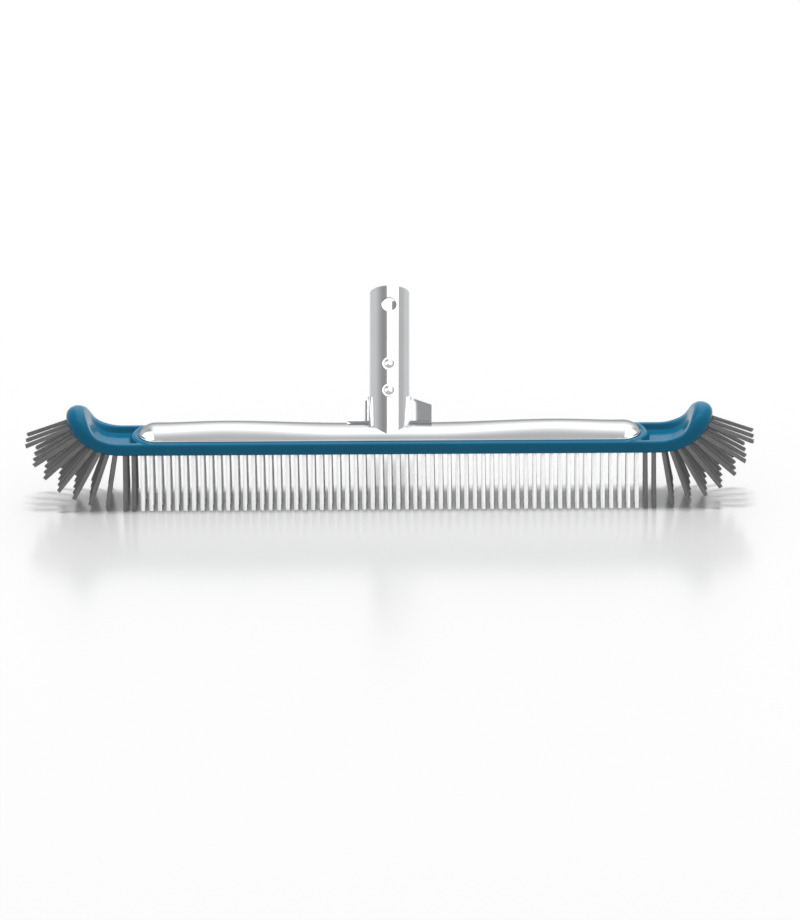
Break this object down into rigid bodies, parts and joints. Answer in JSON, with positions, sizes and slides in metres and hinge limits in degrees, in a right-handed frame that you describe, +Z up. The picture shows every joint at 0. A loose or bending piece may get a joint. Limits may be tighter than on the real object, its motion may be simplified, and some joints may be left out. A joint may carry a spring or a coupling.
{
  "type": "pool wall brush",
  "caption": "Pool wall and floor brush: curled plastic block, domed aluminium spine, leaning pole socket on a riveted bracket, white and grey bristle tufts.",
  "frame": {"origin": "on the floor under the middle of the brush, at the trimmed end of the middle tuft", "axes": "+X along the brush to the right as the user faces its front, +Y to the back, towards which the pole socket leans, +Z up"},
  "size_m": [0.5746, 0.1284, 0.1491],
  "materials": {
    "block_plastic": "glossy",
    "spine_aluminium": "polished",
    "tube_aluminium": "satin",
    "bracket_aluminium": "satin",
    "rivet_aluminium": "satin",
    "plug_plastic": "matte",
    "white_bristle": "matte",
    "grey_bristle": "matte"
  },
  "bodies": {
    "root": {"brush_block": "block_plastic", "spine_cover": "spine_aluminium", "handle_tube": "tube_aluminium", "handle_bracket": "bracket_aluminium", "socket_plug": "plug_plastic", "upper_tube_rivet": "rivet_aluminium", "lower_tube_rivet": "rivet_aluminium", "base_rivets": "rivet_aluminium", "white_row_1": "white_bristle", "white_row_2": "white_bristle", "white_row_3": "white_bristle", "white_row_4": "white_bristle", "white_row_5": "white_bristle", "left_column_1": "grey_bristle", "left_column_2": "grey_bristle", "right_column_1": "grey_bristle", "right_column_2": "grey_bristle", "left_fan_1": "grey_bristle", "left_fan_2": "grey_bristle", "left_fan_3": "grey_bristle", "left_fan_4": "grey_bristle", "left_fan_5": "grey_bristle", "left_fan_6": "grey_bristle", "left_fan_7": "grey_bristle", "right_fan_1": "grey_bristle", "right_fan_2": "grey_bristle", "right_fan_3": "grey_bristle", "right_fan_4": "grey_bristle", "right_fan_5": "grey_bristle", "right_fan_6": "grey_bristle", "right_fan_7": "grey_bristle"}
  },
  "joints": []
}
